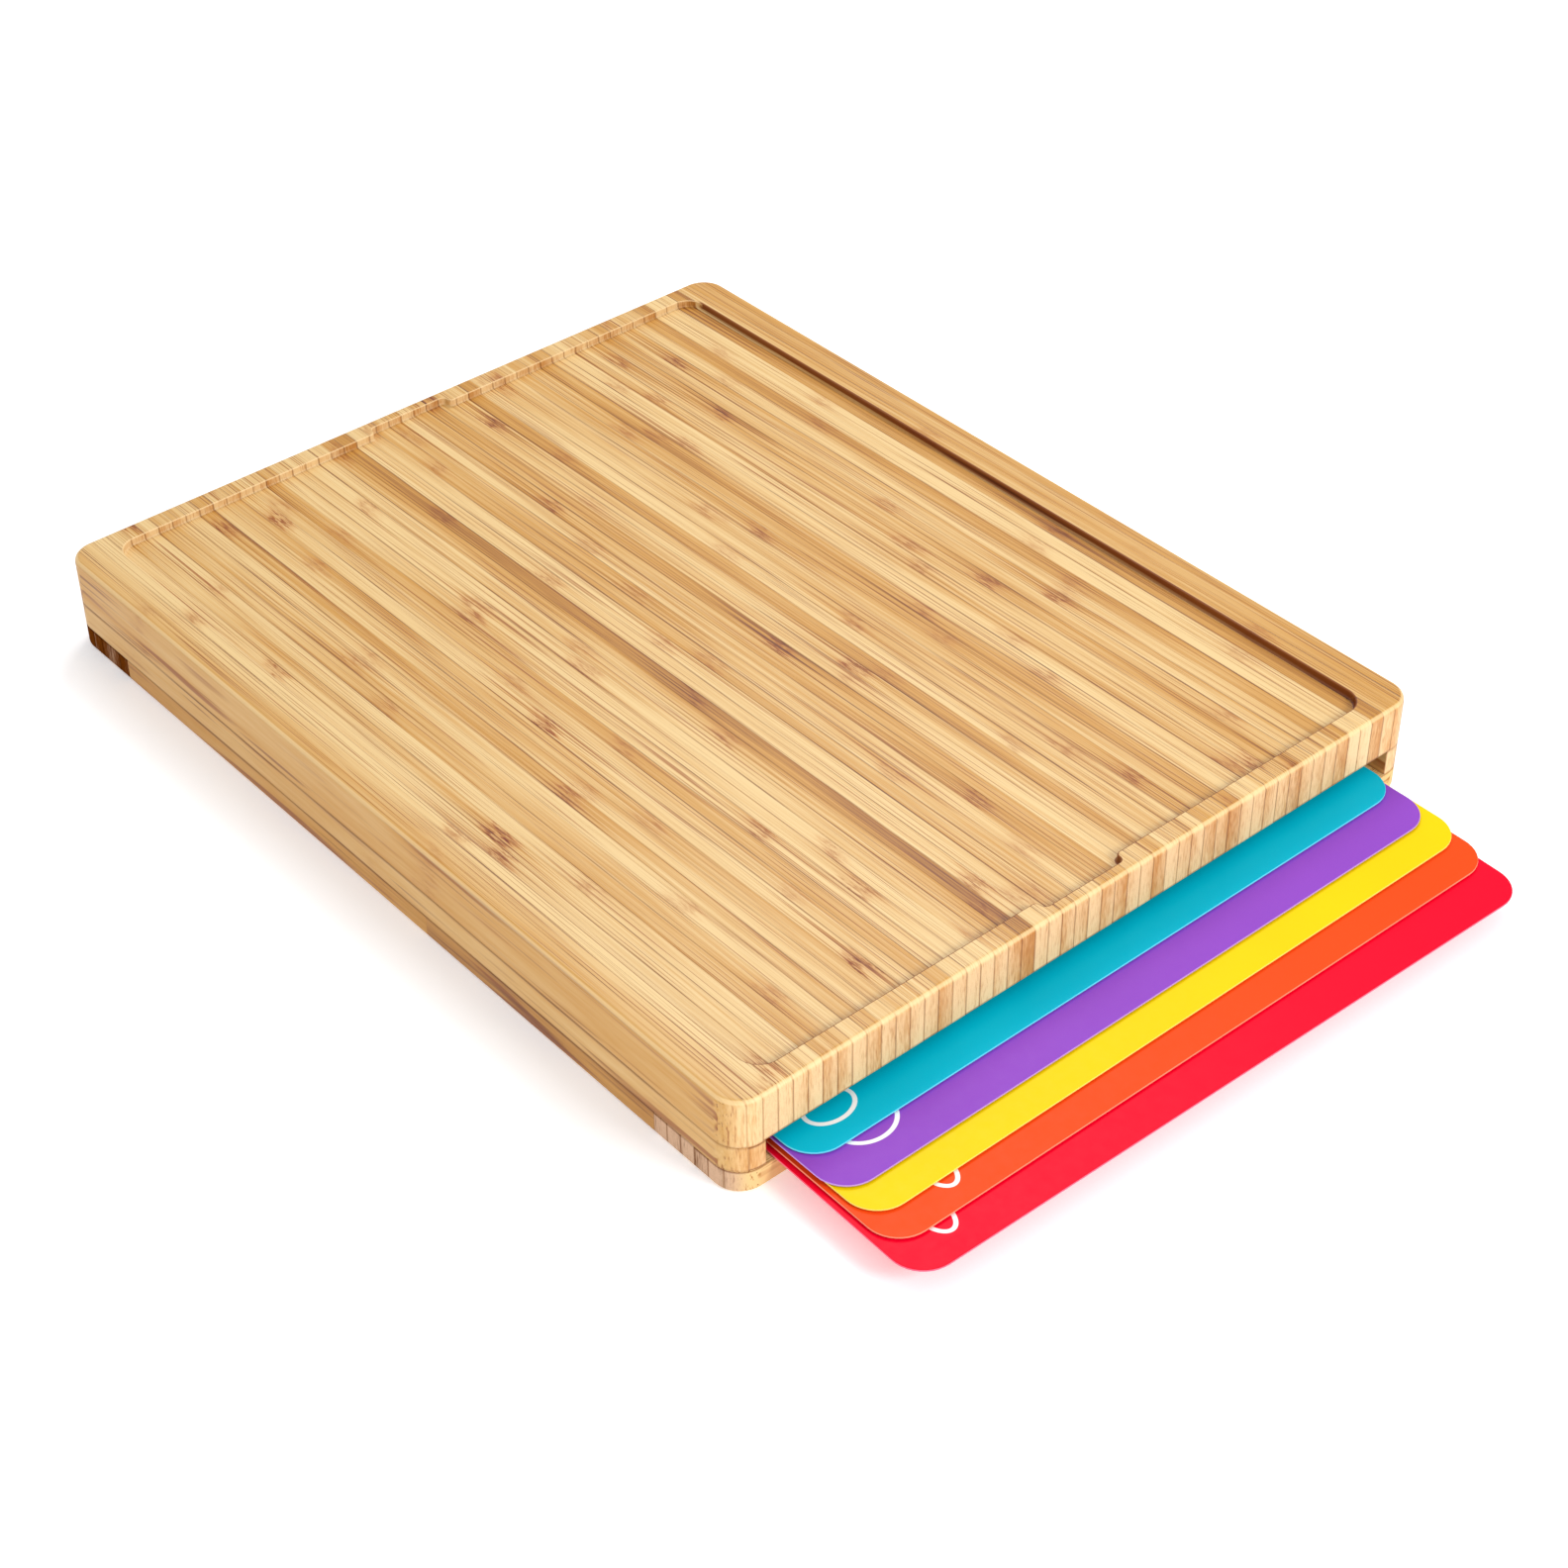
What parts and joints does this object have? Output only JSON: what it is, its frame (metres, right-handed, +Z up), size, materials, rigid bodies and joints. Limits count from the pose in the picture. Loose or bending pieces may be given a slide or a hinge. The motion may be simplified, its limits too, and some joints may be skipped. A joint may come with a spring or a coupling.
{
  "type": "cutting board with storage slot and flexible mats",
  "caption": "Thick laminated bamboo cutting board with a shallow recessed top and a low slot in one end that stores flexible coloured cutting mats.",
  "frame": {"origin": "middle of the board's underside, on the surface that it stands on", "axes": "+X along the staves towards the open end of the slot, +Y across the board, +Z up"},
  "size_m": [0.4511, 0.304, 0.038],
  "materials": {
    "bamboo_slab": "oiled satin",
    "bamboo_rail": "oiled satin",
    "bamboo_end_slat": "oiled satin, end grain at the sides",
    "red_plastic": "satin",
    "orange_plastic": "satin",
    "yellow_plastic": "satin",
    "purple_plastic": "satin",
    "teal_plastic": "satin"
  },
  "bodies": {
    "board": {"top_stave_01": "bamboo_slab", "top_stave_02": "bamboo_slab", "top_stave_03": "bamboo_slab", "top_stave_04": "bamboo_slab", "top_stave_05": "bamboo_slab", "top_stave_06": "bamboo_slab", "top_stave_07": "bamboo_slab", "top_stave_08": "bamboo_slab", "top_stave_09": "bamboo_slab", "top_stave_10": "bamboo_slab", "top_stave_11": "bamboo_slab", "top_stave_12": "bamboo_slab", "top_stave_13": "bamboo_slab", "top_stave_14": "bamboo_slab", "top_stave_15": "bamboo_slab", "top_stave_16": "bamboo_slab", "top_stave_17": "bamboo_slab", "top_stave_18": "bamboo_slab", "top_stave_19": "bamboo_slab", "top_stave_20": "bamboo_slab", "top_stave_21": "bamboo_slab", "top_stave_22": "bamboo_slab", "top_stave_23": "bamboo_slab", "top_stave_24": "bamboo_slab", "top_stave_25": "bamboo_slab", "top_stave_26": "bamboo_slab", "left_side_rail": "bamboo_rail", "right_side_rail": "bamboo_rail", "slot_stop_rail": "bamboo_rail", "bottom_rear_slat": "bamboo_end_slat", "bottom_front_slat": "bamboo_end_slat", "bottom_left_rear_rail": "bamboo_rail", "bottom_left_front_rail": "bamboo_rail", "bottom_right_rear_rail": "bamboo_rail", "bottom_right_front_rail": "bamboo_rail", "bottom_board_1": "bamboo_rail", "bottom_board_2": "bamboo_rail", "bottom_board_3": "bamboo_rail", "bottom_board_4": "bamboo_rail", "bottom_board_5": "bamboo_rail"},
    "red_mat": {"red_mat": "red_plastic"},
    "orange_mat": {"orange_mat": "orange_plastic"},
    "yellow_mat": {"yellow_mat": "yellow_plastic"},
    "purple_mat": {"purple_mat": "purple_plastic"},
    "teal_mat": {"teal_mat": "teal_plastic"}
  },
  "joints": [
    {"name": "red_mat_slide", "type": "slide", "parent": "board", "child": "red_mat", "axis": [1, 0, 0], "range_m": [-0.064, 0.3]},
    {"name": "orange_mat_slide", "type": "slide", "parent": "board", "child": "orange_mat", "axis": [1, 0, 0], "range_m": [-0.0514, 0.31]},
    {"name": "yellow_mat_slide", "type": "slide", "parent": "board", "child": "yellow_mat", "axis": [1, 0, 0], "range_m": [-0.0404, 0.32]},
    {"name": "purple_mat_slide", "type": "slide", "parent": "board", "child": "purple_mat", "axis": [1, 0, 0], "range_m": [-0.028, 0.332]},
    {"name": "teal_mat_slide", "type": "slide", "parent": "board", "child": "teal_mat", "axis": [1, 0, 0], "range_m": [-0.012, 0.35]}
  ]
}
